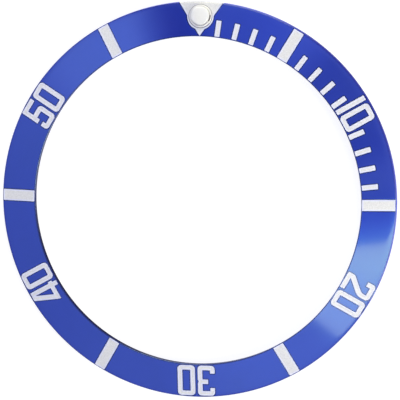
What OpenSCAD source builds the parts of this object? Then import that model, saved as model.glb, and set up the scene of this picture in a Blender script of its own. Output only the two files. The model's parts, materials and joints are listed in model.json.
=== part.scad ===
// Insert for the turning bezel of a diver's watch: an anodised ring with a sloping face,
// a sixty minute scale let into it, and a raised luminous pearl at 12 o'clock.
// Sizes are in millimetres. The origin is on the ring's axis, in the plane that the ring
// stands on. +Z comes out of the dial side and +Y points to 12 o'clock.

/* [Ring] */
// Outer diameter of the ring
ring_od = 38; // [34:0.1:44]
// Width of the ring from the opening to the outer edge, seen from above
ring_w = 3.25; // [3:0.05:4.5]
// Angle at which the face falls away from the opening
face_slope = 13; // [5:0.5:20]
// Height of the wall round the outside
rim_h = 0.8; // [0.5:0.05:1.2]
// Width of the flat seat under the outer edge
seat_w = 0.35; // [0.15:0.05:0.8]
// Width and depth of the bevel on each edge of the ring
edge_break = 0.04; // [0.02:0.01:0.08]

/* [Markings] */
// Depth to which the light markings are let into the face
mark_depth = 0.08; // [0.04:0.01:0.15]
// Clear face between the opening and the foot of the numerals and ticks
foot_margin = 0.1; // [0.05:0.01:0.3]
// Clear face between the top of the numerals and the outer edge
head_margin = 0.14; // [0.1:0.01:0.3]
// Radius on the square corners of all markings
corner_round = 0.06; // [0.02:0.01:0.1]

/* [Numerals] */
// Width of the 0 and the 2
digit_w = 1.7; // [1.5:0.05:1.9]
// Width of the 3 and the 5
open_w = 1.66; // [1.5:0.02:1.9]
// Width of the 4, with both ends of its bar
four_w = 1.95; // [1.8:0.05:2.1]
// Width of the plain bar that stands for a 1
one_w = 0.5; // [0.35:0.05:0.7]
// Width of the strokes
stroke_w = 0.47; // [0.3:0.01:0.52]
// Space between two digits
digit_gap = 0.24; // [0.15:0.01:0.4]
// Space between a 4 and the digit after it
four_gap = 0.16; // [0.1:0.01:0.4]
// Radius of the round outer corners of the digits
digit_round = 0.38; // [0.1:0.02:0.44]

/* [Minute marks] */
// Width of the bars at 5, 15, 25, 35, 45 and 55 minutes
bar_w = 1.08; // [0.6:0.02:1.6]
// Clear face between the ends of a bar and the edges of the ring
bar_margin = 0.06; // [0.05:0.01:0.3]
// Width of the ticks for single minutes
tick_w = 0.5; // [0.3:0.02:0.8]
// Length of the ticks for single minutes
tick_l = 1.53; // [0.8:0.01:2.2]

/* [Pearl field] */
// Width of the light field where it meets the outer edge
field_w = 4.3; // [3:0.1:6]
// Clear face between the point of the field and the opening
field_margin = 0.04; // [0.04:0.01:0.4]
// Light border round the lip of the pearl's cup
field_border = 0.18; // [0.06:0.01:0.3]

/* [Pearl] */
// Distance of the pearl's axis from the outer edge
pearl_inset = 1.34; // [1.3:0.01:1.45]
// Outer diameter of the cup below its lip
cup_d = 1.94; // [1.4:0.02:2]
// Clearance round the cup in its hole
hole_gap = 0.02; // [0.01:0.01:0.05]
// Reach of the lip beyond the cup
lip_w = 0.13; // [0.05:0.01:0.15]
// Height of the lip above the face
lip_h = 0.16; // [0.08:0.01:0.3]
// Wall thickness of the cup
cup_wall = 0.06; // [0.06:0.01:0.2]
// Thickness of the cup's floor
cup_floor = 0.1; // [0.05:0.01:0.2]
// Distance of the cup's floor from the underside of the ring
cup_lift = 0.05; // [0.02:0.01:0.15]
// Clearance round the dome in the cup
dome_gap = 0.02; // [0.01:0.01:0.05]
// Height of the dome's straight side above the face
dome_side = 0.36; // [0.1:0.01:0.4]
// Height of the crown above the straight side
dome_crown = 0.16; // [0.1:0.01:0.5]

/* [Hidden] */
NUMERALS = [10, 20, 30, 40, 50];
BARS = [5, 15, 25, 35, 45, 55];
TICKS = [1, 2, 3, 4, 6, 7, 8, 9, 11, 12, 13, 14];

// Name of a marking with its minute written in two digits
function mark_name(kind, minute) = str(kind, minute < 10 ? "_0" : "_", minute);

degrees_per_minute = 6;
outer_r = ring_od / 2;
inner_r = outer_r - ring_w;
seat_r = outer_r - seat_w;
foot_r = inner_r + foot_margin;
digit_h = outer_r - head_margin - foot_r;
pearl_r = outer_r - pearl_inset;
lip_r = cup_d / 2 + lip_w;
bore_r = cup_d / 2 - cup_wall;
// Thickness of the ring square to its face
ring_t = (rim_h + seat_w * tan(face_slope)) * cos(face_slope);
// Depth of the cup's floor below the face
cup_depth = ring_t - cup_lift;

// Shares of a digit's height and width that fix its inner points
long_hook = 0.3;
short_hook = 0.265;
two_knee = 0.69;
two_heel = 0.23;
two_bend = 0.33;
three_waist = 0.535;
three_bar = 0.39;
notch_half = 0.066;
notch_depth = 0.05;
four_bar = 0.14;
four_tip = 0.18;
four_top = 0.49;
four_slant = 1.13;
four_reach = 0.15;
five_waist = 0.645;
five_drop = 0.38;

// Reach of the cutting bodies past the surfaces that they cut
over = 1;
round_fn = 180;
small_fn = 72;
// Greatest distance between a rounded corner and its chords
arc_error = 0.005;

// Height of the face at a distance from the axis
function face_z(r) = rim_h + (outer_r - r) * tan(face_slope);
// Height of the sloping underside at a distance from the axis
function under_z(r) = (seat_r - r) * tan(face_slope);

// Top edge of the ring's section, from the opening outwards, lowered by a depth
function top_edge(depth) = [
    [inner_r, face_z(inner_r) - edge_break - depth],
    [inner_r + edge_break, face_z(inner_r + edge_break) - depth],
    [outer_r - edge_break, face_z(outer_r - edge_break) - depth],
    [outer_r, face_z(outer_r) - edge_break - depth]
];
function reversed(points) = [for (i = [len(points) - 1:-1:0]) points[i]];

// Arc that rounds corner b, between its neighbours a and c, to radius r
function fillet(a, b, c, r) =
    let (
        u = (a - b) / norm(a - b),
        v = (c - b) / norm(c - b),
        half = acos(max(-1, min(1, u * v))) / 2,
        centre = b + (u + v) / norm(u + v) * r / sin(half),
        start = b + u * r / tan(half) - centre,
        end = b + v * r / tan(half) - centre,
        from = atan2(start[1], start[0]),
        turn = atan2(end[1], end[0]) - from,
        sweep = turn > 180 ? turn - 360 : turn < -180 ? turn + 360 : turn,
        steps = max(2, ceil(abs(sweep) / (2 * acos(1 - arc_error / r))))
    )
    [for (i = [0:steps]) centre + r * [cos(from + sweep * i / steps), sin(from + sweep * i / steps)]];

// Outline through corners given as [x, y, radius]
function outline(corners) = [
    for (i = [0:len(corners) - 1])
        let (
            a = corners[(i + len(corners) - 1) % len(corners)],
            b = corners[i],
            c = corners[(i + 1) % len(corners)]
        )
        each b[2] > 0
            ? fillet([a[0], a[1]], [b[0], b[1]], [c[0], c[1]], b[2])
            : [[b[0], b[1]]]
];

// Rectangle from a lower left to an upper right point, with its corners rounded
function plate(low, high, r) = outline([
    [low[0], low[1], r],
    [high[0], low[1], r],
    [high[0], high[1], r],
    [low[0], high[1], r]
]);

// The digits stand on y = 0, with their left side on x = 0

module zero() {
    difference() {
        polygon(plate([0, 0], [digit_w, digit_h], digit_round));
        polygon(plate([stroke_w, stroke_w], [digit_w - stroke_w, digit_h - stroke_w], corner_round));
    }
}

module one() {
    polygon(plate([0, 0], [one_w, digit_h], corner_round));
}

module two() {
    inner_x = digit_w - stroke_w;
    knee = two_knee * digit_h;
    heel = two_heel * digit_h;
    bend = two_bend * digit_h;
    hook = digit_h * (1 - long_hook);
    rise = (knee - heel) / inner_x;
    polygon(outline([
        [0, 0, 2 * corner_round],
        [digit_w, 0, corner_round],
        [digit_w, stroke_w, corner_round],
        [stroke_w, stroke_w, 0],
        [digit_w, stroke_w + inner_x * rise, bend],
        [digit_w, digit_h, digit_round],
        [0, digit_h, digit_round],
        [0, hook, corner_round],
        [stroke_w, hook, corner_round],
        [stroke_w, digit_h - stroke_w, 0],
        [inner_x, digit_h - stroke_w, 0],
        [inner_x, knee, bend / 2],
        [0, heel, bend / 3]
    ]));
}

module three() {
    inner_x = open_w - stroke_w;
    waist = three_waist * digit_h;
    notch = notch_half * digit_h;
    bar_x = three_bar * open_w;
    hook = short_hook * digit_h;
    polygon(outline([
        [0, 0, digit_round],
        [open_w, 0, digit_round],
        [open_w, waist - notch, digit_round],
        [open_w * (1 - notch_depth), waist, 0],
        [open_w, waist + notch, digit_round],
        [open_w, digit_h, digit_round],
        [0, digit_h, digit_round],
        [0, digit_h - hook, corner_round],
        [stroke_w, digit_h - hook, corner_round],
        [stroke_w, digit_h - stroke_w, 0],
        [inner_x, digit_h - stroke_w, 0],
        [inner_x, waist + stroke_w / 2, 0],
        [bar_x, waist + stroke_w / 2, corner_round],
        [bar_x, waist - stroke_w / 2, corner_round],
        [inner_x, waist - stroke_w / 2, 0],
        [inner_x, stroke_w, 0],
        [stroke_w, stroke_w, 0],
        [stroke_w, hook, corner_round],
        [0, hook, corner_round]
    ]));
}

module four() {
    right_x = four_w - four_reach;
    left_x = right_x - stroke_w;
    bar_low = four_bar * digit_h;
    bar_high = bar_low + stroke_w;
    top_x = four_top * four_w;
    tip = four_tip * digit_h;
    lean = (digit_h - tip) / top_x;
    slant_w = four_slant * stroke_w;
    difference() {
        polygon(outline([
            [left_x, 0, corner_round],
            [right_x, 0, corner_round],
            [right_x, bar_low, 0],
            [four_w, bar_low, corner_round],
            [four_w, bar_high, corner_round],
            [right_x, bar_high, 0],
            [right_x, digit_h, corner_round],
            [top_x, digit_h, corner_round],
            [0, tip, corner_round],
            [0, bar_low, corner_round],
            [left_x, bar_low, 0]
        ]));
        polygon([
            [slant_w + (bar_high - tip) / lean, bar_high],
            [left_x, bar_high],
            [left_x, tip + (left_x - slant_w) * lean]
        ]);
    }
}

module five() {
    inner_x = open_w - stroke_w;
    waist = five_waist * digit_h;
    drop = five_drop * digit_h;
    hook = short_hook * digit_h;
    polygon(outline([
        [0, 0, digit_round],
        [open_w, 0, digit_round],
        [open_w, waist, digit_round],
        [stroke_w, waist, 0],
        [stroke_w, digit_h - stroke_w, 0],
        [open_w, digit_h - stroke_w, corner_round],
        [open_w, digit_h, corner_round],
        [0, digit_h, corner_round],
        [0, drop, corner_round],
        [stroke_w, drop, corner_round],
        [stroke_w, waist - stroke_w, 0],
        [inner_x, waist - stroke_w, 0],
        [inner_x, stroke_w, 0],
        [stroke_w, stroke_w, 0],
        [stroke_w, hook, corner_round],
        [0, hook, corner_round]
    ]));
}

module tens_digit(tens) {
    if (tens == 1) one();
    if (tens == 2) two();
    if (tens == 3) three();
    if (tens == 4) four();
    if (tens == 5) five();
}

// Two digits side by side, centred on the line through their minute
module numeral_outline(minute) {
    tens = minute / 10;
    tens_w = [one_w, digit_w, open_w, four_w, open_w][tens - 1];
    gap = tens == 4 ? four_gap : digit_gap;
    total_w = tens_w + gap + digit_w;
    translate([-total_w / 2, foot_r]) tens_digit(tens);
    translate([total_w / 2 - digit_w, foot_r]) zero();
}

module bar_outline() {
    polygon(plate([-bar_w / 2, inner_r + bar_margin], [bar_w / 2, outer_r - bar_margin], corner_round));
}

module tick_outline() {
    polygon(plate([-tick_w / 2, foot_r], [tick_w / 2, foot_r + tick_l], corner_round));
}

// A triangle whose sides run past the outer edge, joined to a disc round the pearl
module field_outline() {
    tip_y = inner_r + field_margin;
    grow = (outer_r + over - tip_y) / (outer_r - tip_y);
    polygon([
        [0, tip_y],
        [field_w / 2 * grow, outer_r + over],
        [-field_w / 2 * grow, outer_r + over]
    ]);
    translate([0, pearl_r]) circle(r = lip_r + field_border, $fn = small_fn);
}

// Turns a marking drawn at 12 o'clock to its minute, clockwise
module at_minute(minute) {
    rotate([0, 0, -degrees_per_minute * minute]) children();
}

// The thin layer under the face that the markings fill
module face_layer() {
    rotate_extrude($fn = round_fn)
        polygon(concat(top_edge(mark_depth), reversed(top_edge(0))));
}

// Everything above the floor of the markings' pockets, also past the outer edge
module above_floor() {
    floor_edge = top_edge(mark_depth);
    last = floor_edge[len(floor_edge) - 1];
    lid_z = face_z(inner_r) + over;
    rotate_extrude($fn = round_fn)
        polygon(concat(
            floor_edge,
            [[outer_r + over, last[1]], [outer_r + over, lid_z], [inner_r, lid_z]]
        ));
}

module prism() {
    linear_extrude(height = face_z(inner_r) + 2 * over) children();
}

// A marking's solid, flush with the face
module inlay(minute) {
    intersection() {
        face_layer();
        at_minute(minute) prism() children();
    }
}

// Puts a pearl piece on the face at 12 o'clock, with its own axis square to the face
module on_face() {
    translate([0, pearl_r, face_z(pearl_r)]) rotate([-face_slope, 0, 0]) children();
}

module pearl_hole() {
    on_face()
        translate([0, 0, -ring_t - over])
            cylinder(r = cup_d / 2 + hole_gap, h = ring_t + 2 * over, $fn = small_fn);
}

module ring_blank() {
    rotate_extrude($fn = round_fn)
        polygon(concat(
            [
                [outer_r, edge_break],
                [outer_r - edge_break, 0],
                [seat_r, 0],
                [inner_r + edge_break, under_z(inner_r + edge_break)],
                [inner_r, under_z(inner_r) + edge_break]
            ],
            top_edge(0)
        ));
}

module insert_ring() {
    color([0.23, 0.31, 0.7])
        difference() {
            ring_blank();
            intersection() {
                above_floor();
                union() {
                    prism() field_outline();
                    for (minute = NUMERALS) at_minute(minute) prism() numeral_outline(minute);
                    for (minute = BARS) at_minute(minute) prism() bar_outline();
                    for (minute = TICKS) at_minute(minute) prism() tick_outline();
                }
            }
            pearl_hole();
        }
}

module pearl_field() {
    color([0.86, 0.86, 0.86])
        difference() {
            inlay(0) field_outline();
            pearl_hole();
        }
}

module numeral(minute) {
    color([0.88, 0.88, 0.9]) inlay(minute) numeral_outline(minute);
}

module bar(minute) {
    color([0.86, 0.86, 0.88]) inlay(minute) bar_outline();
}

module tick(minute) {
    color([0.86, 0.86, 0.88]) inlay(minute) tick_outline();
}

// A straight cup with a lip that lies on the face, its rim bevelled towards the dome
module pearl_cup() {
    rim_bevel = min(lip_h, lip_w + cup_wall) / 2;
    color([0.8, 0.8, 0.8])
        on_face()
            rotate_extrude($fn = small_fn)
                polygon([
                    [0, -cup_depth],
                    [cup_d / 2, -cup_depth],
                    [cup_d / 2, 0],
                    [lip_r, 0],
                    [lip_r, lip_h],
                    [bore_r + rim_bevel, lip_h],
                    [bore_r, lip_h - rim_bevel],
                    [bore_r, cup_floor - cup_depth],
                    [0, cup_floor - cup_depth]
                ]);
}

// The luminous filling, level with the face
module pearl_lume() {
    color([0.9, 0.91, 0.88])
        on_face()
            translate([0, 0, cup_floor - cup_depth])
                cylinder(r = bore_r, h = cup_depth - cup_floor, $fn = small_fn);
}

// A straight side with an oval crown
module pearl_dome() {
    dome_r = bore_r - dome_gap;
    crown_steps = 12;
    fullness = 0.6;
    crown = [
        for (i = [0:crown_steps])
            let (angle = 90 * i / crown_steps)
            [dome_r * pow(cos(angle), fullness), dome_side + dome_crown * pow(sin(angle), fullness)]
    ];
    color([0.93, 0.93, 0.92])
        on_face()
            rotate_extrude($fn = small_fn)
                polygon(concat([[0, 0], [dome_r, 0]], crown));
}

insert_ring();
pearl_field();
for (minute = NUMERALS) numeral(minute);
for (minute = BARS) bar(minute);
for (minute = TICKS) tick(minute);
pearl_cup();
pearl_lume();
pearl_dome();
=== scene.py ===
import json
import math

import bmesh
import bpy
from mathutils import Matrix, Vector


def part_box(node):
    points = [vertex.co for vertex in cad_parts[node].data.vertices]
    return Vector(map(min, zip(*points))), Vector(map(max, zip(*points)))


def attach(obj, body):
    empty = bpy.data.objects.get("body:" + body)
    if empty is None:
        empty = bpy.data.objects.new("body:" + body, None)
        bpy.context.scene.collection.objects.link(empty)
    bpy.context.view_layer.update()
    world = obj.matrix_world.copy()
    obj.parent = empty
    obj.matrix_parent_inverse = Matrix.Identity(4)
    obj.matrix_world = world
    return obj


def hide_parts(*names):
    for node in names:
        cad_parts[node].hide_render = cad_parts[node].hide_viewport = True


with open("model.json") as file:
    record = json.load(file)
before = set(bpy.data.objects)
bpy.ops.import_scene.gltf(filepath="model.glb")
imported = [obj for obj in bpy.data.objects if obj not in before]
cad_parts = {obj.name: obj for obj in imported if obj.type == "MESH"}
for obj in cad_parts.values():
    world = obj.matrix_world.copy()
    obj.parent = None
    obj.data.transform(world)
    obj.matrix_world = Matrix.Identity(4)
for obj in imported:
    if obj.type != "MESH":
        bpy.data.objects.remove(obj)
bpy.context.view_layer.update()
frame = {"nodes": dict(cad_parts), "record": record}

# Shapes are drawn in millimetres and brought to metres when a piece is finished.
# The ring's axis is Z, 12 o'clock is +Y, and minutes run clockwise.
perMetre = 1000
# distances in millimetres under which points count as one, or as lying on a line or an edge
near = {"weld": 1e-4, "cut": 1e-5, "axis": 1e-6, "edge": 1e-3}
mounts = {mount["name"]: mount for mount in frame["record"]["mounts"]}
ringLow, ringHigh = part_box("insert_ring")

ring = {
    "outerR": min(-ringLow.x, -ringLow.y, ringHigh.x, ringHigh.y) * perMetre,
    "innerR": mounts["opening"]["dims"]["r_mm"],
    "slope": math.radians(13),
    "rimH": 0.8,
    "seatW": 0.35,
    "edgeW": 0.07,  # size of the rounding on each edge
    "edgeSteps": 4,
    "darkW": 0.12,  # strip beside the inner edge of the face, painted darker as shade along the edge
    "rimW": 0.08,  # and beside the outer one, where the rounding is painted darker as shade along the edge
    "bulge": 0.012,  # the face is very slightly rounded across its width
    "shoulder": 0.02,  # and falls away a little more next to the outer edge
    "shoulderW": 0.5,
    "faceSteps": 16,
    "turnSteps": 720,
    "wallRise": 0.2,  # a face whose normal rises or falls less than this belongs to a wall
}


def faceHeight(r):
    share = (r - ring["innerR"]) / (ring["outerR"] - ring["innerR"])
    rounding = max(0, 4 * ring["bulge"] * share * (1 - share))
    rounding -= ring["shoulder"] * max(0, 1 - (ring["outerR"] - r) / ring["shoulderW"]) ** 2
    return ring["rimH"] + (ring["outerR"] - r) * math.tan(ring["slope"]) + rounding


def newPiece(name, bm, finishes):
    mesh = bpy.data.meshes.new(name)
    bm.to_mesh(mesh)
    bm.free()
    for finish in finishes:
        mesh.materials.append(finish)
    piece = bpy.data.objects.new(name, mesh)
    bpy.context.scene.collection.objects.link(piece)
    return piece


def finishPiece(piece, node, smoothUnder=30):
    mesh = piece.data
    mesh.transform(Matrix.Scale(1 / perMetre, 4))
    mesh.shade_smooth()
    mesh.set_sharp_from_angle(angle=math.radians(smoothUnder))
    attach(piece, "root")
    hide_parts(node)


def cutAway(piece, cutter):
    boolean = piece.modifiers.new("cut", "BOOLEAN")
    boolean.operation = "DIFFERENCE"
    boolean.solver = "EXACT"
    boolean.material_mode = "TRANSFER"
    boolean.object = cutter
    graph = bpy.context.evaluated_depsgraph_get()
    mesh = bpy.data.meshes.new_from_object(piece.evaluated_get(graph))
    piece.modifiers.clear()
    piece.data = mesh
    bpy.data.objects.remove(cutter)


def roundCorner(bm, vert, reach, steps):
    bmesh.ops.bevel(
        bm, geom=[vert], offset=reach, offset_type="OFFSET", affect="VERTICES",
        segments=steps, profile=0.5, material=-1,
    )


def spinRound(bm, steps):
    # turns a profile in the XZ plane round Z, and closes it
    bmesh.ops.spin(
        bm, geom=bm.verts[:] + bm.edges[:], cent=(0, 0, 0), axis=(0, 0, 1), dvec=(0, 0, 0),
        angle=math.tau, steps=steps, use_merge=True, use_duplicate=False,
    )
    bmesh.ops.remove_doubles(bm, verts=bm.verts[:], dist=near["weld"])
    bmesh.ops.recalc_face_normals(bm, faces=bm.faces[:])


# Finishes: the scale of a pattern is per metre, and the height of a bump is in metres

finishSettings = {
    "anodised": {
        "deep": (0.0110, 0.016, 0.288), "light": (0.0130, 0.019, 0.324), "rough": (0.14, 0.18),
        "tint": (0.12, 0.45, 1), "brushed": 0.9, "coat": 1,
    },
    # darker than the face: painted shade along the outer rounding
    "edge": {
        "deep": (0.012, 0.016, 0.200), "light": (0.014, 0.018, 0.220), "rough": (0.26, 0.30),
        "tint": (0.35, 0.45, 1), "brushed": 0.9, "coat": 0,
    },
    # far lighter than the face: painted light on the outer wall, as if lit from the white floor
    "wall": {
        "deep": (0.040, 0.040, 0.460), "light": (0.046, 0.046, 0.500), "rough": (0.66, 0.72),
        "tint": (0.45, 0.55, 1), "brushed": 1, "coat": 0,
    },
    # much darker than the outer wall: painted shade on the bore's wall
    "bore": {
        "deep": (0.002, 0.004, 0.070), "light": (0.003, 0.005, 0.080), "rough": (0.34, 0.40),
        "tint": (0.30, 0.40, 1), "brushed": 0.6, "coat": 0, "shine": 0.04,
    },
    # darker than the face: painted shade in the grooves round the markings and along the inner edge
    "groove": {
        "deep": (0.004, 0.006, 0.100), "light": (0.005, 0.008, 0.120), "rough": (0.20, 0.24),
        "tint": (0.16, 0.38, 1), "brushed": 0.9, "coat": 0.9,
    },
    # darker than the face: painted shade in the pockets under the markings and in the hole under the pearl
    "pocket": {"color": (0.010, 0.014, 0.140), "roughness": 0.6, "shine": 0.05},
    "under": {
        "deep": (0.016, 0.036, 0.27), "light": (0.022, 0.046, 0.33), "roughness": 0.5,
        "patches": 180, "grain": 15000, "grainHeight": 5e-7,
    },
    "bare": {"color": (0.60, 0.60, 0.60), "roughness": 0.4, "shine": 0.1},
    "markCentre": {
        "deep": (0.73, 0.72, 0.66), "light": (0.84, 0.83, 0.77), "roughness": 0.24, "shine": 0.75,
        "patches": 9000, "grain": 25000, "grainHeight": 8e-7,
    },
    "markRim": {"color": (0.79, 0.80, 0.885), "roughness": 0.24, "shine": 0.75},
    "cupMetal": {"color": (0.93, 0.91, 0.83), "roughness": 0.36, "metallic": 0.25},
    # a dark brown patch inside the lip: a painted dark reflection in the polished lip
    "darkReflection": {"color": (0.16, 0.13, 0.11), "roughness": 0.6},
    # dark grey floor of the step round the lip: painted shade
    "recess": {"color": (0.28, 0.28, 0.28), "roughness": 0.6, "shine": 0.2},
    "milky": {
        "deep": (0.89, 0.87, 0.78), "light": (0.93, 0.91, 0.82), "roughness": 0.3,
        "patches": 900, "grain": 8000, "grainHeight": 4e-7, "scatter": 0.0006,
    },
    "paste": {
        "deep": (0.70, 0.74, 0.66), "light": (0.80, 0.83, 0.76), "roughness": 0.8,
        "patches": 3000, "grain": 12000, "grainHeight": 4e-6,
    },
}
# what the anodised finishes share
anodising = {
    "patches": 180,
    "lines": 6000,
    "lineHeight": 1e-7,
    "ior": 2.26,
    "brushTurn": 0.25,
    "coatRoughness": 0.07,
    "coatIor": 1.54,
}
# how each kind of pattern is drawn
pattern = {
    "patchDetail": 3,
    "patchFrom": 0.35,
    "patchTo": 0.65,
    "grainDetail": 2,
    "plainGrain": 20000,
    "plainGrainHeight": 3e-7,
    "lineDetail": 3,
    "lineFrom": 0.3,
    "lineTo": 0.7,
    "shine": 0.5,  # for a finish that names none of its own
}


def newFinish(name, roughness, color=(0.5, 0.5, 0.5)):
    finish = bpy.data.materials.new(name)
    finish.use_nodes = True
    shader = finish.node_tree.nodes["Principled BSDF"]
    shader.inputs["Base Color"].default_value = (*color, 1)
    shader.inputs["Roughness"].default_value = roughness
    return finish, finish.node_tree.nodes, finish.node_tree.links, shader


def addNode(nodes, kind, **values):
    node = nodes.new(kind)
    for name, value in values.items():
        setattr(node, name, value)
    return node


def mottle(nodes, links, shader, place, deep, light, scale):
    # soft patches between two tones of the base colour
    patches = addNode(nodes, "ShaderNodeTexNoise")
    patches.inputs["Scale"].default_value = scale
    patches.inputs["Detail"].default_value = pattern["patchDetail"]
    tones = addNode(nodes, "ShaderNodeValToRGB")
    tones.color_ramp.elements[0].position = pattern["patchFrom"]
    tones.color_ramp.elements[0].color = (*deep, 1)
    tones.color_ramp.elements[1].position = pattern["patchTo"]
    tones.color_ramp.elements[1].color = (*light, 1)
    links.new(place.outputs["Object"], patches.inputs["Vector"])
    links.new(patches.outputs["Fac"], tones.inputs["Fac"])
    links.new(tones.outputs["Color"], shader.inputs["Base Color"])


def addGrain(nodes, links, shader, place, scale, height):
    grain = addNode(nodes, "ShaderNodeTexNoise")
    grain.inputs["Scale"].default_value = scale
    grain.inputs["Detail"].default_value = pattern["grainDetail"]
    bump = addNode(nodes, "ShaderNodeBump")
    bump.inputs["Strength"].default_value = 1
    bump.inputs["Distance"].default_value = height
    links.new(place.outputs["Object"], grain.inputs["Vector"])
    links.new(grain.outputs["Fac"], bump.inputs["Height"])
    links.new(bump.outputs["Normal"], shader.inputs["Normal"])


def addTurning(nodes, links, shader, place, scale, height, smooth, rough):
    # rings left by the lathe: noise that depends on the distance from the axis alone
    flat = addNode(nodes, "ShaderNodeVectorMath", operation="MULTIPLY")
    flat.inputs[1].default_value = (1, 1, 0)
    radius = addNode(nodes, "ShaderNodeVectorMath", operation="LENGTH")
    lines = addNode(nodes, "ShaderNodeTexNoise", noise_dimensions="1D")
    lines.inputs["Scale"].default_value = scale
    lines.inputs["Detail"].default_value = pattern["lineDetail"]
    spread = addNode(nodes, "ShaderNodeMapRange")
    spread.inputs["From Min"].default_value = pattern["lineFrom"]
    spread.inputs["From Max"].default_value = pattern["lineTo"]
    spread.inputs["To Min"].default_value = smooth
    spread.inputs["To Max"].default_value = rough
    bump = addNode(nodes, "ShaderNodeBump")
    bump.inputs["Strength"].default_value = 1
    bump.inputs["Distance"].default_value = height
    links.new(place.outputs["Object"], flat.inputs[0])
    links.new(flat.outputs["Vector"], radius.inputs[0])
    links.new(radius.outputs["Value"], lines.inputs["W"])
    links.new(lines.outputs["Fac"], spread.inputs["Value"])
    links.new(spread.outputs["Result"], shader.inputs["Roughness"])
    links.new(lines.outputs["Fac"], bump.inputs["Height"])
    links.new(bump.outputs["Normal"], shader.inputs["Normal"])


def makeAnodised(name, key):
    # a dyed layer over turned metal: blurred across the lathe's rings, with a clear sealed surface on top
    values = finishSettings[key]
    finish, nodes, links, shader = newFinish(name, values["rough"][0])
    place = addNode(nodes, "ShaderNodeTexCoord")
    mottle(nodes, links, shader, place, values["deep"], values["light"], anodising["patches"])
    addTurning(nodes, links, shader, place, anodising["lines"], anodising["lineHeight"], *values["rough"])
    along = addNode(nodes, "ShaderNodeVectorMath", operation="CROSS_PRODUCT")
    along.inputs[0].default_value = (0, 0, 1)
    links.new(place.outputs["Object"], along.inputs[1])
    links.new(along.outputs["Vector"], shader.inputs["Tangent"])
    shader.inputs["IOR"].default_value = anodising["ior"]
    shader.inputs["Specular Tint"].default_value = (*values["tint"], 1)
    shader.inputs["Anisotropic"].default_value = values["brushed"]
    shader.inputs["Anisotropic Rotation"].default_value = anodising["brushTurn"]
    shader.inputs["Specular IOR Level"].default_value = values.get("shine", pattern["shine"])
    shader.inputs["Coat Weight"].default_value = values["coat"]
    shader.inputs["Coat Roughness"].default_value = anodising["coatRoughness"]
    shader.inputs["Coat IOR"].default_value = anodising["coatIor"]
    return finish


def makePlain(name, key):
    values = finishSettings[key]
    finish, nodes, links, shader = newFinish(name, values["roughness"], values["color"])
    place = addNode(nodes, "ShaderNodeTexCoord")
    addGrain(nodes, links, shader, place, pattern["plainGrain"], pattern["plainGrainHeight"])
    shader.inputs["Specular IOR Level"].default_value = values.get("shine", pattern["shine"])
    shader.inputs["Metallic"].default_value = values.get("metallic", 0)
    return finish


def makeMottled(name, key):
    values = finishSettings[key]
    finish, nodes, links, shader = newFinish(name, values["roughness"])
    place = addNode(nodes, "ShaderNodeTexCoord")
    mottle(nodes, links, shader, place, values["deep"], values["light"], values["patches"])
    addGrain(nodes, links, shader, place, values["grain"], values["grainHeight"])
    shader.inputs["Specular IOR Level"].default_value = values.get("shine", pattern["shine"])
    return finish


anodisedBlue = makeAnodised("anodisedBlue", "anodised")
edgeShadeBlue = makeAnodised("edgeShadeBlue", "edge")
wallLitBlue = makeAnodised("wallLitBlue", "wall")
boreShadeBlue = makeAnodised("boreShadeBlue", "bore")
grooveShadeBlue = makeAnodised("grooveShadeBlue", "groove")
pocketShadeBlue = makePlain("pocketShadeBlue", "pocket")
underBlue = makeMottled("underBlue", "under")
bareMetal = makePlain("bareMetal", "bare")
markCentre = makeMottled("markCentre", "markCentre")
markRim = makePlain("markRim", "markRim")
cupMetal = makePlain("cupMetal", "cupMetal")
cupDarkReflection = makePlain("cupDarkReflection", "darkReflection")
recessShadeGrey = makePlain("recessShadeGrey", "recess")
milkyDome = makeMottled("milkyDome", "milky")
milkyShader = milkyDome.node_tree.nodes["Principled BSDF"]
milkyShader.inputs["Subsurface Weight"].default_value = 1
milkyShader.inputs["Subsurface Radius"].default_value = (1, 1, 1)
milkyShader.inputs["Subsurface Scale"].default_value = finishSettings["milky"]["scatter"]
pastePale = makeMottled("pastePale", "paste")
# the finishes of a piece that has several, in the order of its material slots
markFinishes = [markCentre, markRim]
pocketFinishes = [pocketShadeBlue, bareMetal]
cupFinishes = [cupMetal, cupDarkReflection]
ringFinishes = [
    anodisedBlue, edgeShadeBlue, wallLitBlue, underBlue, bareMetal, pocketShadeBlue, grooveShadeBlue, boreShadeBlue,
]
print("scene: finishes made")


# Markings: each outline is a list of corners (x, y, rounding), with the figure's foot at y = 0, and it
# runs counter-clockwise outside the marking and clockwise round a hole in it

marks = {
    "depth": 0.08,
    "footMargin": 0.1,
    "headMargin": 0.14,
    "cornerR": 0.06,
    "shrink": 0.012,  # the gap between a marking and the wall of its pocket
    "groove": 0.1,  # a shallow groove round the marking, its finish painted darker as shade
    "grooveDepth": 0.02,
    "rimW": 0.125,  # bright border
    "dish": 0.012,  # how far the middle lies below the border
    "floorGap": 0.002,  # between a marking and the floor of its pocket
    "grooveApart": 0.005,  # the grooves of two close digits stop this far from the middle between them
    "fineR": 0.08,  # a rounding smaller than this has fineSteps, any other has roundSteps
    "fineSteps": 3,
    "roundSteps": 8,
    "cutHigh": 0.3,  # the pocket cutters reach this far above the face
    "perMinute": 6,
}
numerals = {
    "width": 1.7,
    "openW": 1.66,
    "fourW": 1.95,
    "oneW": 0.5,
    "strokeW": 0.47,
    "gap": 0.24,
    "fourGap": 0.16,
    "fourSpur": 0.15,  # how far the bar of the 4 passes its upright
    "roundR": 0.38,
    "minutes": [10, 20, 30, 40, 50],
}
bars = {"width": 1.08, "margin": 0.06, "minutes": [5, 15, 25, 35, 45, 55]}
ticks = {"width": 0.5, "length": 1.53, "minutes": [1, 2, 3, 4, 6, 7, 8, 9, 11, 12, 13, 14]}

footR = ring["innerR"] + marks["footMargin"]
digitH = mounts["outer_rim"]["dims"]["r_mm"] - marks["headMargin"] - footR


def rectangle(x0, y0, x1, y1, r):
    return [(x0, y0, r), (x1, y0, r), (x1, y1, r), (x0, y1, r)]


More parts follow.
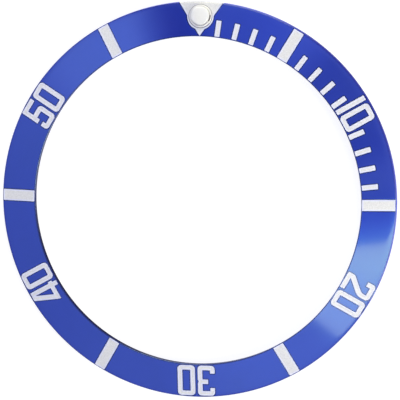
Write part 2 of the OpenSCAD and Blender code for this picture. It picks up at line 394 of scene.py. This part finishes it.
def zeroLoops():
    wide, pen = numerals["width"], numerals["strokeW"]
    return [
        rectangle(0, 0, wide, digitH, numerals["roundR"]),
        rectangle(pen, pen, wide - pen, digitH - pen, marks["cornerR"])[::-1],
    ]


def oneLoops():
    return [rectangle(0, 0, numerals["oneW"], digitH, marks["cornerR"])]


def twoLoops():
    wide, pen, tall = numerals["width"], numerals["strokeW"], digitH
    curve, soft = numerals["roundR"], marks["cornerR"]
    knee, heel, bend, hook = 0.69 * tall, 0.23 * tall, 0.33 * tall, 0.7 * tall
    return [[
        (0, 0, 2 * soft), (wide, 0, soft), (wide, pen, soft), (pen, pen, 0),
        (wide, pen + knee - heel, bend), (wide, tall, curve), (0, tall, curve), (0, hook, soft),
        (pen, hook, soft), (pen, tall - pen, 0), (wide - pen, tall - pen, 0),
        (wide - pen, knee, bend / 2), (0, heel, bend / 3),
    ]]


def threeLoops():
    wide, pen, tall = numerals["openW"], numerals["strokeW"], digitH
    curve, soft = numerals["roundR"], marks["cornerR"]
    waist, notch, hook = 0.535 * tall, 0.066 * tall, 0.265 * tall
    nick, barX = 0.95 * wide, 0.39 * wide
    return [[
        (0, 0, curve), (wide, 0, curve), (wide, waist - notch, curve), (nick, waist, 0),
        (wide, waist + notch, curve), (wide, tall, curve), (0, tall, curve), (0, tall - hook, soft),
        (pen, tall - hook, soft), (pen, tall - pen, 0), (wide - pen, tall - pen, 0),
        (wide - pen, waist + pen / 2, 0), (barX, waist + pen / 2, soft), (barX, waist - pen / 2, soft),
        (wide - pen, waist - pen / 2, 0), (wide - pen, pen, 0), (pen, pen, 0), (pen, hook, soft),
        (0, hook, soft),
    ]]


def fourLoops():
    wide, pen, soft, tall = numerals["fourW"], numerals["strokeW"], marks["cornerR"], digitH
    right, low, tip, topX = wide - numerals["fourSpur"], 0.14 * tall, 0.18 * tall, 0.49 * wide
    left, high, slant = right - pen, low + pen, 1.13 * pen
    lean = (tall - tip) / topX
    return [
        [
            (left, 0, soft), (right, 0, soft), (right, low, 0), (wide, low, soft), (wide, high, soft),
            (right, high, 0), (right, tall, soft), (topX, tall, soft), (0, tip, soft), (0, low, soft),
            (left, low, 0),
        ],
        [(slant + (high - tip) / lean, high, 0), (left, tip + (left - slant) * lean, 0), (left, high, 0)],
    ]


def fiveLoops():
    wide, pen, tall = numerals["openW"], numerals["strokeW"], digitH
    curve, soft = numerals["roundR"], marks["cornerR"]
    waist, drop, hook = 0.645 * tall, 0.38 * tall, 0.265 * tall
    return [[
        (0, 0, curve), (wide, 0, curve), (wide, waist, curve), (pen, waist, 0), (pen, tall - pen, 0),
        (wide, tall - pen, soft), (wide, tall, soft), (0, tall, soft), (0, drop, soft),
        (pen, drop, soft), (pen, waist - pen, 0), (wide - pen, waist - pen, 0), (wide - pen, pen, 0),
        (pen, pen, 0), (pen, hook, soft), (0, hook, soft),
    ]]


def shifted(loops, dx, dy):
    return [[(x + dx, y + dy, r) for x, y, r in loop] for loop in loops]


def numeralLoops(minute):
    tens = {1: oneLoops, 2: twoLoops, 3: threeLoops, 4: fourLoops, 5: fiveLoops}[minute // 10]()
    tensW = max(x for loop in tens for x, y, r in loop)
    gap = numerals["fourGap"] if minute == 40 else numerals["gap"]
    total = tensW + gap + numerals["width"]
    units = shifted(zeroLoops(), total / 2 - numerals["width"], footR)
    return shifted(tens, -total / 2, footR) + units


def barLoops(minute):
    low, high = ring["innerR"] + bars["margin"], ring["outerR"] - bars["margin"]
    return [rectangle(-bars["width"] / 2, low, bars["width"] / 2, high, marks["cornerR"])]


def tickLoops(minute):
    wide = ticks["width"]
    return [rectangle(-wide / 2, footR, wide / 2, footR + ticks["length"], marks["cornerR"])]


def moved(corners, away):
    # the outline shifted away from the marking, or into it where away is negative; the marking lies
    # on the left of each outline's direction
    points = [Vector((x, y)) for x, y, r in corners]
    shifts = []
    for i, (x, y, r) in enumerate(corners):
        back = (points[i] - points[i - 1]).normalized()
        ahead = (points[(i + 1) % len(points)] - points[i]).normalized()
        sides = Vector((back.y, -back.x)), Vector((ahead.y, -ahead.x))
        shift = (sides[0] + sides[1]) * away / (1 + sides[0].dot(sides[1]))
        outward = back.cross(ahead) > 0
        shifts.append((x + shift.x, y + shift.y, max(0, r + away if outward else r - away)))
    return shifts


def drawLoop(bm, corners):
    points = [Vector((x, y, 0)) for x, y, r in corners]
    verts = [bm.verts.new(point) for point in points]
    bm.faces.new(verts)
    for i, vert in enumerate(verts):
        r = corners[i][2]
        if r == 0:
            continue
        back = points[i - 1] - points[i]
        ahead = points[(i + 1) % len(points)] - points[i]
        reach = r / math.tan(back.angle(ahead) / 2)
        roundCorner(bm, vert, reach, marks["fineSteps"] if r < marks["fineR"] else marks["roundSteps"])


def drawSheet(outlines):
    # flat zones, each running from one outline to the next; all but the last are the bright border.
    # Gives the sheet and the edges of each outline.
    bm = bmesh.new()
    rings = []
    for loops in outlines:
        known = set(bm.edges)
        for corners in loops:
            drawLoop(bm, corners)
        rings.append([edge for edge in bm.edges if edge not in known])
    bmesh.ops.delete(bm, geom=bm.faces[:], context="FACES_ONLY")
    for i, edges in enumerate(rings):
        last = i == len(rings) - 1
        zone = bmesh.ops.triangle_fill(
            bm, use_beauty=True, use_dissolve=False, normal=(0, 0, 1),
            edges=edges if last else edges + rings[i + 1],
        )
        for face in zone["geom"]:
            if isinstance(face, bmesh.types.BMFace):
                face.material_index = markFinishes.index(markCentre if last else markRim)
    return bm, rings


def thicken(bm, low, high):
    # a sheet whose outline lies at height 0 becomes a solid from low to high
    bmesh.ops.translate(bm, verts=bm.verts[:], vec=(0, 0, high))
    grown = bmesh.ops.extrude_face_region(bm, geom=bm.faces[:], use_keep_orig=True)
    for v in grown["geom"]:
        if isinstance(v, bmesh.types.BMVert):
            v.co.z = low


def layOnFace(bm, minute):
    # turns a marking to its minute and bends it to the cone
    widest = math.degrees(max(math.atan2(abs(v.co.x), v.co.y) for v in bm.verts))
    for step in range(-int(widest), int(widest) + 1):
        across = math.radians(step)
        bmesh.ops.bisect_plane(
            bm, geom=bm.verts[:] + bm.edges[:] + bm.faces[:], dist=near["cut"],
            plane_co=(0, 0, 0), plane_no=(math.cos(across), math.sin(across), 0),
        )
    turn = Matrix.Rotation(math.radians(-marks["perMinute"] * minute), 3, "Z")
    bmesh.ops.rotate(bm, verts=bm.verts[:], cent=(0, 0, 0), matrix=turn)
    for v in bm.verts:
        v.co.z += faceHeight(math.hypot(v.co.x, v.co.y))
    bmesh.ops.recalc_face_normals(bm, faces=bm.faces[:])


def makeMark(name, loops, minute):
    # a flat bright border round a slightly sunk middle
    borderIn = marks["shrink"] + marks["rimW"]
    insides = (marks["shrink"], borderIn, borderIn + marks["dish"])
    bm, rings = drawSheet([[moved(corners, -inside) for corners in loops] for inside in insides])
    for v in {v for edge in rings[-1] for v in edge.verts}:
        v.co.z = -marks["dish"]
    thicken(bm, marks["floorGap"] - marks["depth"], 0)
    layOnFace(bm, minute)
    return newPiece(name, bm, markFinishes)


def addPocket(target, loops, minute, depth, slot=0):
    # adds the cutter of one pocket or groove, with the finish in that slot of the cutters
    bm = drawSheet([loops])[0]
    thicken(bm, -depth, marks["cutHigh"])
    layOnFace(bm, minute)
    for face in bm.faces:
        face.material_index = slot
    mesh = bpy.data.meshes.new("pocket")
    bm.to_mesh(mesh)
    bm.free()
    target.from_mesh(mesh)
    bpy.data.meshes.remove(mesh)


pockets, grooves = bmesh.new(), bmesh.new()
families = [("numeral", numeralLoops, numerals), ("bar", barLoops, bars), ("tick", tickLoops, ticks)]
for kind, outline, values in families:
    for minute in values["minutes"]:
        mark = makeMark("%s%02d" % (kind, minute), outline(minute), minute)
        finishPiece(mark, "%s_%02d" % (kind, minute))
        away = marks["groove"]
        if minute == 40:
            away = min(away, numerals["fourGap"] / 2 - marks["grooveApart"])
        around = [moved(corners, away) for corners in outline(minute)]
        addPocket(pockets, outline(minute), minute, marks["depth"])
        addPocket(grooves, around, minute, marks["grooveDepth"])
print("scene: markings made")


# Pearl: its own axis is Z while it is drawn, and seatPearl stands it on the face at 12 o'clock

pearl = {
    "inset": 1.34,
    "cupR": 0.97,
    "holeGap": 0.02,
    "lipW": 0.13,
    "lipH": 0.16,
    "lipRound": 0.09,
    "boreRound": 0.07,
    "recessGap": 0.05,  # a shallow step in the field round the lip, its floor painted dark grey as shade
    "recessDepth": 0.04,
    "lipLift": 0.005,  # the underside of the lip lies this far above the face
    "footRound": 0.03,
    "reflectFrom": math.radians(-30),  # a painted dark reflection on the inside of the lip, toward 3 o'clock
    "reflectTo": math.radians(8),
    "reflectIn": 0.01,  # and how far it reaches to either side of the bore's wall
    "reflectOut": 0.09,
    "wall": 0.06,
    "floor": 0.1,
    "lift": 0.05,
    "domeGap": 0.02,
    "domeLift": 0.002,  # the dome's underside lies this far above the filling
    "domeSide": 0.36,
    "domeCrown": 0.142,
    "crownSteps": 24,
    "fullness": 0.6,
    "turnSteps": 128,
    "cutReach": 2,  # the cutter of the hole in the ring reaches this far to either side of the face
}
pearlR = ring["outerR"] - pearl["inset"]
lipR = pearl["cupR"] + pearl["lipW"]
boreR = pearl["cupR"] - pearl["wall"]
ringT = (ring["rimH"] + ring["seatW"] * math.tan(ring["slope"])) * math.cos(ring["slope"])
cupDepth = ringT - pearl["lift"]


def seatPearl(bm):
    place = Matrix.Translation((0, pearlR, faceHeight(pearlR))) @ Matrix.Rotation(-ring["slope"], 4, "X")
    bmesh.ops.transform(bm, matrix=place, verts=bm.verts[:])


def spinProfile(corners, steps):
    # corners are (radius, height, rounding), counter-clockwise from the axis, turned round Z
    bm = bmesh.new()
    drawLoop(bm, corners)
    bmesh.ops.delete(bm, geom=bm.faces[:], context="FACES_ONLY")
    onAxis = [edge for edge in bm.edges if all(v.co.x < near["axis"] for v in edge.verts)]
    bmesh.ops.delete(bm, geom=onAxis, context="EDGES")
    upright = Matrix.Rotation(math.radians(90), 3, "X")
    bmesh.ops.rotate(bm, verts=bm.verts[:], cent=(0, 0, 0), matrix=upright)
    spinRound(bm, steps)
    return bm


def makeCup():
    bottom, floor, lift, top = -cupDepth, pearl["floor"] - cupDepth, pearl["lipLift"], pearl["lipH"]
    bm = spinProfile([
        (0, bottom, 0), (pearl["cupR"], bottom, pearl["footRound"]), (pearl["cupR"], lift, 0),
        (lipR, lift, 0), (lipR, top, pearl["lipRound"]), (boreR, top, pearl["boreRound"]),
        (boreR, floor, 0), (0, floor, 0),
    ], pearl["turnSteps"])
    reflectLow, reflectHigh = boreR - pearl["reflectIn"], boreR + pearl["reflectOut"]
    # faces inside the lip toward 3 o'clock get the painted dark reflection
    for face in bm.faces:
        centre = face.calc_center_median()
        turn = math.atan2(centre.y, centre.x)
        inside = reflectLow < centre.xy.length < reflectHigh and centre.z > 0
        if inside and pearl["reflectFrom"] < turn < pearl["reflectTo"]:
            face.material_index = cupFinishes.index(cupDarkReflection)
    seatPearl(bm)
    return newPiece("pearlCup", bm, cupFinishes)


def makeDome():
    r = boreR - pearl["domeGap"]
    corners = [(0, pearl["domeLift"], 0), (r, pearl["domeLift"], 0)]
    for i in range(pearl["crownSteps"] + 1):
        angle = math.radians(90 * i / pearl["crownSteps"])
        reach = max(0, math.cos(angle)) ** pearl["fullness"] if i < pearl["crownSteps"] else 0
        height = pearl["domeSide"] + pearl["domeCrown"] * math.sin(angle) ** pearl["fullness"]
        corners.append((r * reach, height, 0))
    bm = spinProfile(corners, pearl["turnSteps"])
    seatPearl(bm)
    return newPiece("pearlDome", bm, [milkyDome])


finishPiece(makeCup(), "pearl_cup")
finishPiece(makeDome(), "pearl_dome")
frame["nodes"]["pearl_lume"].material_slots[0].material = pastePale
print("scene: pearl made")


# Field: a triangle joined to a disc round the pearl, running out over the outer edge

field = {
    "width": 4.3,
    "tipMargin": 0.04,
    "border": 0.18,
    "arcSteps": 40,
    "holeR": 1.02,
    "cornerDepth": 0.05,  # the corner to be rounded lies less than this below the rim's height
    "pocketOver": 0.4,  # the cutters of its pocket and groove reach this far past the outer edge
    "cutReach": 1,  # and the cutters of its hole and recess this far past the face
}


def fieldLoop(topR, inward):
    # the outline with the triangle's end at topR and its sides and disc drawn in by inward
    tipY = ring["innerR"] + field["tipMargin"]
    lean = field["width"] / 2 / (ring["outerR"] - tipY)
    tipY += inward / math.sin(math.atan(lean))
    discR = lipR + field["border"] - inward
    # heights above the tip where the triangle's side meets the disc: the roots of a quadratic
    a, b, c = lean ** 2 + 1, tipY - pearlR, (tipY - pearlR) ** 2 - discR ** 2
    root = math.sqrt(b ** 2 - a * c)
    low, high = (-b - root) / a, (-b + root) / a
    start = math.atan2(tipY + low - pearlR, lean * low)
    end = math.atan2(tipY + high - pearlR, lean * high)
    arc = [start + (end - start) * i / field["arcSteps"] for i in range(field["arcSteps"] + 1)]
    side = [(discR * math.cos(t), pearlR + discR * math.sin(t), 0) for t in arc]
    # where the side meets the circle of radius topR, and the arc back to 12 o'clock
    b, c = tipY, tipY ** 2 - topR ** 2
    last = (-b + math.sqrt(b ** 2 - a * c)) / a
    spread = math.atan2(lean * last, tipY + last)
    across = [spread] + [math.radians(step) for step in range(int(math.degrees(spread)), 0, -1)]
    side += [(topR * math.sin(t), topR * math.cos(t), 0) for t in across]
    left = [(-x, y, 0) for x, y, r in reversed(side)]
    return [(0, tipY, 0)] + side + [(0, topR, 0)] + left


def makeHoleCutter(r, low, high):
    bm = bmesh.new()
    bmesh.ops.create_cone(
        bm, cap_ends=True, segments=pearl["turnSteps"], radius1=r, radius2=r, depth=high - low,
        matrix=Matrix.Translation((0, 0, (low + high) / 2)),
    )
    seatPearl(bm)
    return bm


def makeField():
    insideR = ring["outerR"] - 2 * ring["edgeW"]
    bm = drawSheet([
        [fieldLoop(ring["outerR"], marks["shrink"])],
        [fieldLoop(insideR, marks["shrink"] + marks["rimW"])],
    ])[0]
    for face in bm.faces:
        if face.calc_center_median().xy.length > insideR:
            face.material_index = markFinishes.index(markCentre)  # no bright border along the outer edge
    thicken(bm, marks["floorGap"] - marks["depth"], 0)
    layOnFace(bm, 0)
    lowest, innermost = ring["rimH"] - field["cornerDepth"], ring["outerR"] - near["edge"]
    rim = [
        edge for edge in bm.edges
        if all(v.co.z > lowest and v.co.xy.length > innermost for v in edge.verts)
    ]
    bmesh.ops.bevel(
        bm, geom=rim, offset=ring["edgeW"], offset_type="OFFSET", affect="EDGES",
        segments=ring["edgeSteps"], profile=0.5, material=-1,
    )
    piece = newPiece("pearlField", bm, markFinishes)
    hole = makeHoleCutter(field["holeR"], -field["cutReach"], field["cutReach"])
    cutAway(piece, newPiece("hole", hole, []))
    # a shallow step round the lip, its floor painted dark grey as shade
    recess = makeHoleCutter(lipR + pearl["recessGap"], -pearl["recessDepth"], field["cutReach"])
    cutAway(piece, newPiece("recess", recess, [recessShadeGrey]))
    return piece


finishPiece(makeField(), "pearl_field")
pastEdge = ring["outerR"] + field["pocketOver"]
bareSlot = pocketFinishes.index(bareMetal)
addPocket(pockets, [fieldLoop(pastEdge, 0)], 0, marks["depth"], bareSlot)
addPocket(grooves, [fieldLoop(pastEdge, -marks["groove"])], 0, marks["grooveDepth"])
print("scene: field made")


# Ring


def makeRing():
    seatR = ring["outerR"] - ring["seatW"]
    under = (seatR - ring["innerR"]) * math.tan(ring["slope"])
    bm = bmesh.new()
    points = [
        (ring["innerR"], under), (seatR, 0), (ring["outerR"], 0),
        (ring["outerR"], faceHeight(ring["outerR"])),
    ]
    low, high = ring["innerR"] + ring["darkW"], ring["outerR"] - ring["rimW"]
    across = [high + (low - high) * i / ring["faceSteps"] for i in range(ring["faceSteps"] + 1)]
    points += [(r, faceHeight(r)) for r in across + [ring["innerR"]]]
    verts = [bm.verts.new((r, 0, z)) for r, z in points]
    bm.faces.new(verts)
    for i in (0, 2, 3, len(verts) - 1):  # both corners of the bore's wall and of the outer wall
        roundCorner(bm, verts[i], ring["edgeW"], ring["edgeSteps"])
    bmesh.ops.delete(bm, geom=bm.faces[:], context="FACES_ONLY")
    spinRound(bm, ring["turnSteps"])
    fieldSpread = field["width"] / 2 / ring["outerR"]
    slots = {finish.name: i for i, finish in enumerate(ringFinishes)}
    for face in bm.faces:
        centre = face.calc_center_median()
        r = math.hypot(centre.x, centre.y)
        underField = abs(math.atan2(centre.x, centre.y)) < fieldSpread
        # the outer wall, where it is not bare: painted light
        if abs(face.normal.z) < ring["wallRise"] and r > seatR:
            face.material_index = slots["bareMetal" if underField else "wallLitBlue"]
        # the bore's wall: painted shade
        elif abs(face.normal.z) < ring["wallRise"]:
            face.material_index = slots["boreShadeBlue"]
        elif face.normal.z < 0:
            face.material_index = slots["underBlue"]
        # the strip beside the outer edge: painted shade
        elif ring["outerR"] - r < ring["rimW"]:
            face.material_index = slots["edgeShadeBlue"]
        # the strip beside the inner edge: painted shade
        elif r - ring["innerR"] < ring["darkW"]:
            face.material_index = slots["grooveShadeBlue"]
    return newPiece("insertRing", bm, ringFinishes)


ringPiece = makeRing()
cutAway(ringPiece, newPiece("pockets", pockets, pocketFinishes))
cutAway(ringPiece, newPiece("grooves", grooves, [grooveShadeBlue]))
pearlHole = makeHoleCutter(pearl["cupR"] + pearl["holeGap"], -pearl["cutReach"], pearl["cutReach"])
cutAway(ringPiece, newPiece("hole", pearlHole, [pocketShadeBlue]))
finishPiece(ringPiece, "insert_ring")
print("scene: ring made,", len(ringPiece.data.polygons), "faces")


# Studio, in metres: directions are degrees of tilt from straight up, to the east and to the north

studio = {
    "distance": 3,
    "floorSize": 12,
    "floorDrop": 1e-5,  # it lies this far below the ring's seat
    "floorColor": (0.3, 0.3, 0.3),
    "floorGlow": 0.84,  # what the camera sees of it
    # and what other rays see: it glows onto the walls north-west and south-east of a line through
    # the middle, not at all as near to the line as none, and fully from full on
    "sideGlow": {"axis": (-0.616, 0.788, 0), "none": 0.004, "full": 0.014, "radiance": 1.4},
    # cards between four directions, clockwise from the inner northern one, with the light at their
    # northern and southern sides, measured along the direction named north, and how much of the sky
    # behind them shows
    "cards": {
        "window": {
            "corners": [(8, -15.1), (44, -4.7), (15, -29.2), (3.5, -19.8)], "north": (0, 1, 0),
            "northLight": (3.85, 3.95, 2.85), "southLight": (3.0, 3.0, 2.95), "shows": 0,
        },
        "blueFringe": {
            "corners": [(6, -8), (42, 2.4), (44, -4.7), (8, -15.1)], "north": (-0.277, 0.96, 0),
            "northLight": (0, 0, 0), "southLight": (0, 0.02, 1.3), "shows": 1,
        },
    },
    # the lamps, with the angles that they span as wide and deep
    "keyColor": (1, 0.98, 0.68),
    "keyEast": {"east": 53, "north": -22, "wide": 30, "deep": 30, "radiance": 6.6},
    "keyNorth": {"east": 4, "north": 58, "wide": 30, "deep": 30, "radiance": 5.6},
    # soft patches of sky, of the sky's colour unless it is given: the full gain reaches inner
    # degrees from the patch's middle, and none is left at outer degrees
    "skyColor": (0.57, 0.61, 1),
    "skyLight": 0.3,
    "skyLeast": 0.01,  # no patch darkens the sky below this
    "sky": [
        {"east": -9, "north": -7, "inner": 30, "outer": 45, "gain": 0.75},
        {"east": 13, "north": 8, "inner": 5, "outer": 12, "gain": -0.6},
        {"east": -2, "north": 19, "inner": 1, "outer": 10, "gain": -0.42},
        {"east": 1, "north": 21, "inner": 3, "outer": 13, "gain": 0.45, "color": (0, 0.04, 1)},
        {"east": 17, "north": -3, "inner": 1, "outer": 8, "gain": -0.2},
        {"east": 19, "north": -9.5, "inner": 1, "outer": 7, "gain": -0.34},
        {"east": 45, "north": 40, "inner": 10, "outer": 28, "gain": 0.7, "color": (0.10, 0.12, 1)},
        {"east": -11, "north": 12, "inner": 1.5, "outer": 6.5, "gain": -0.86},
        {"east": -13, "north": 19.5, "inner": 1.5, "outer": 6.5, "gain": -0.82},
        {"east": -16, "north": 27, "inner": 1.5, "outer": 6.5, "gain": -0.4},
        {"east": -6, "north": 15, "inner": 1, "outer": 5, "gain": -0.16},
        {"east": 22, "north": 13, "inner": 3, "outer": 11, "gain": 0.28},
        {"east": -24, "north": 16, "inner": 4, "outer": 12.5, "gain": 0.7},
        {"east": 5, "north": -30, "inner": 7, "outer": 18, "gain": 0.5},
        {"east": -36, "north": -17, "inner": 6, "outer": 20, "gain": -0.15},
    ],
}


def aim(east, north):
    tilt, azimuth = math.radians(math.hypot(east, north)), math.atan2(east, north)
    return Vector((math.sin(tilt) * math.sin(azimuth), math.sin(tilt) * math.cos(azimuth), math.cos(tilt)))


def facing(direction, distance):
    # a place at that distance, looking back at the object
    place = direction.to_track_quat("Z", "Y").to_matrix().to_4x4()
    place.translation = direction * distance
    return place


def addSoftbox(name, values):
    lamp = bpy.data.lights.new(name, "AREA")
    lamp.shape = "RECTANGLE"
    lamp.size = 2 * studio["distance"] * math.tan(math.radians(values["wide"] / 2))
    lamp.size_y = 2 * studio["distance"] * math.tan(math.radians(values["deep"] / 2))
    lamp.color = studio["keyColor"]
    lamp.energy = values["radiance"] * math.pi * lamp.size * lamp.size_y
    lampObject = bpy.data.objects.new(name, lamp)
    lampObject.matrix_world = facing(aim(values["east"], values["north"]), studio["distance"])
    bpy.context.scene.collection.objects.link(lampObject)


def addCard(name, values):
    finish = bpy.data.materials.new(name + "Light")
    finish.use_nodes = True
    nodes, links = finish.node_tree.nodes, finish.node_tree.links
    nodes.clear()
    place = addNode(nodes, "ShaderNodeTexCoord")
    along = addNode(nodes, "ShaderNodeVectorMath", operation="DOT_PRODUCT")
    share = addNode(nodes, "ShaderNodeMapRange")
    light = addNode(nodes, "ShaderNodeVectorMath", operation="MULTIPLY_ADD")
    glow = addNode(nodes, "ShaderNodeEmission")
    clear = addNode(nodes, "ShaderNodeBsdfTransparent")
    both = addNode(nodes, "ShaderNodeAddShader")
    result = addNode(nodes, "ShaderNodeOutputMaterial")
    points = [aim(east, north) * studio["distance"] for east, north in values["corners"]]
    along.inputs[1].default_value = values["north"]
    north, south = Vector(values["northLight"]), Vector(values["southLight"])
    share.inputs["From Min"].default_value = points[3].dot(values["north"])
    share.inputs["From Max"].default_value = points[0].dot(values["north"])
    light.inputs[1].default_value = north - south
    light.inputs[2].default_value = south
    clear.inputs["Color"].default_value = (values["shows"], values["shows"], values["shows"], 1)
    links.new(place.outputs["Object"], along.inputs[0])
    links.new(along.outputs["Value"], share.inputs["Value"])
    links.new(share.outputs["Result"], light.inputs[0])
    links.new(light.outputs["Vector"], glow.inputs["Color"])
    links.new(glow.outputs["Emission"], both.inputs[0])
    links.new(clear.outputs["BSDF"], both.inputs[1])
    links.new(both.outputs["Shader"], result.inputs["Surface"])
    bm = bmesh.new()
    bm.faces.new([bm.verts.new(point) for point in points])
    newPiece(name, bm, [finish])


def addFloor():
    finish, nodes, links, shader = newFinish("floorWhite", 1, studio["floorColor"])
    shader.inputs["Specular IOR Level"].default_value = 0
    values = studio["sideGlow"]
    place = addNode(nodes, "ShaderNodeTexCoord")
    along = addNode(nodes, "ShaderNodeVectorMath", operation="DOT_PRODUCT")
    along.inputs[1].default_value = values["axis"]
    away = addNode(nodes, "ShaderNodeMath", operation="ABSOLUTE")
    share = addNode(nodes, "ShaderNodeMapRange", interpolation_type="SMOOTHSTEP")
    share.inputs["From Min"].default_value = values["none"]
    share.inputs["From Max"].default_value = values["full"]
    share.inputs["To Max"].default_value = values["radiance"]
    path = addNode(nodes, "ShaderNodeLightPath")
    glow = addNode(nodes, "ShaderNodeMix")
    glow.inputs["B"].default_value = studio["floorGlow"]
    shader.inputs["Emission Color"].default_value = (1, 1, 1, 1)
    links.new(place.outputs["Object"], along.inputs[0])
    links.new(along.outputs["Value"], away.inputs[0])
    links.new(away.outputs["Value"], share.inputs["Value"])
    links.new(path.outputs["Is Camera Ray"], glow.inputs["Factor"])
    links.new(share.outputs["Result"], glow.inputs["A"])
    links.new(glow.outputs["Result"], shader.inputs["Emission Strength"])
    bm = bmesh.new()
    bmesh.ops.create_grid(bm, x_segments=2, y_segments=2, size=studio["floorSize"] / 2)
    floor = newPiece("floor", bm, [finish])
    floor.location.z = -studio["floorDrop"]


def addSky():
    world = bpy.data.worlds.new("studio")
    world.use_nodes = True
    nodes, links = world.node_tree.nodes, world.node_tree.links
    place = addNode(nodes, "ShaderNodeTexCoord")
    unit = addNode(nodes, "ShaderNodeVectorMath", operation="NORMALIZE")
    links.new(place.outputs["Generated"], unit.inputs[0])
    level = None
    for patch in studio["sky"]:
        color = patch.get("color", studio["skyColor"])
        along = addNode(nodes, "ShaderNodeVectorMath", operation="DOT_PRODUCT")
        along.inputs[1].default_value = aim(patch["east"], patch["north"])
        share = addNode(nodes, "ShaderNodeMapRange", interpolation_type="SMOOTHSTEP")
        share.inputs["From Min"].default_value = math.cos(math.radians(patch["outer"]))
        share.inputs["From Max"].default_value = math.cos(math.radians(patch["inner"]))
        gained = addNode(nodes, "ShaderNodeVectorMath", operation="MULTIPLY_ADD")
        gained.inputs[1].default_value = [patch["gain"] * part for part in color]
        links.new(unit.outputs["Vector"], along.inputs[0])
        links.new(along.outputs["Value"], share.inputs["Value"])
        links.new(share.outputs["Result"], gained.inputs[0])
        if level is None:
            gained.inputs[2].default_value = [studio["skyLight"] * part for part in studio["skyColor"]]
        else:
            links.new(level.outputs["Vector"], gained.inputs[2])
        level = gained
    floored = addNode(nodes, "ShaderNodeVectorMath", operation="MAXIMUM")
    floored.inputs[1].default_value = [studio["skyLeast"] * part for part in studio["skyColor"]]
    links.new(level.outputs["Vector"], floored.inputs[0])
    links.new(floored.outputs["Vector"], nodes["Background"].inputs["Color"])
    bpy.context.scene.world = world


addFloor()
for cardName, cardValues in studio["cards"].items():
    addCard(cardName, cardValues)
addSky()
for lampName in ("keyEast", "keyNorth"):
    addSoftbox(lampName, studio[lampName])
bpy.context.scene.view_settings.view_transform = "Standard"
print("scene: studio made")


# Camera, from the photo: tilted toward a little before 2 o'clock and turned slightly

view = {
    "tilt": math.radians(11.026),
    "toward": math.radians(52.305),
    "roll": math.radians(0.636),
    "distance": 0.801,
    "pixelsPerMm": 10.46,
    "picture": 400,
    "centre": (200.17, 198.92),  # the pixel that the ring's origin falls on
    "sensor": 36,
    "clipStart": 0.01,
}


def addCamera():
    back = Vector((
        math.sin(view["tilt"]) * math.sin(view["toward"]),
        math.sin(view["tilt"]) * math.cos(view["toward"]),
        math.cos(view["tilt"]),
    ))
    right = (-back).cross(Vector((0, 1, 0))).normalized()
    up = right.cross(-back)
    place = (Matrix((right, up, back)).transposed() @ Matrix.Rotation(view["roll"], 3, "Z")).to_4x4()
    place.translation = back * view["distance"]
    camera = bpy.data.cameras.new("camera")
    camera.sensor_width = view["sensor"]
    camera.lens = view["pixelsPerMm"] * view["distance"] * perMetre / view["picture"] * camera.sensor_width
    camera.shift_x = (view["picture"] / 2 - view["centre"][0]) / view["picture"]
    camera.shift_y = (view["centre"][1] - view["picture"] / 2) / view["picture"]
    camera.clip_start = view["clipStart"]
    cameraObject = bpy.data.objects.new("camera", camera)
    cameraObject.matrix_world = place
    bpy.context.scene.collection.objects.link(cameraObject)
    bpy.context.scene.camera = cameraObject


addCamera()
print("scene: camera made")
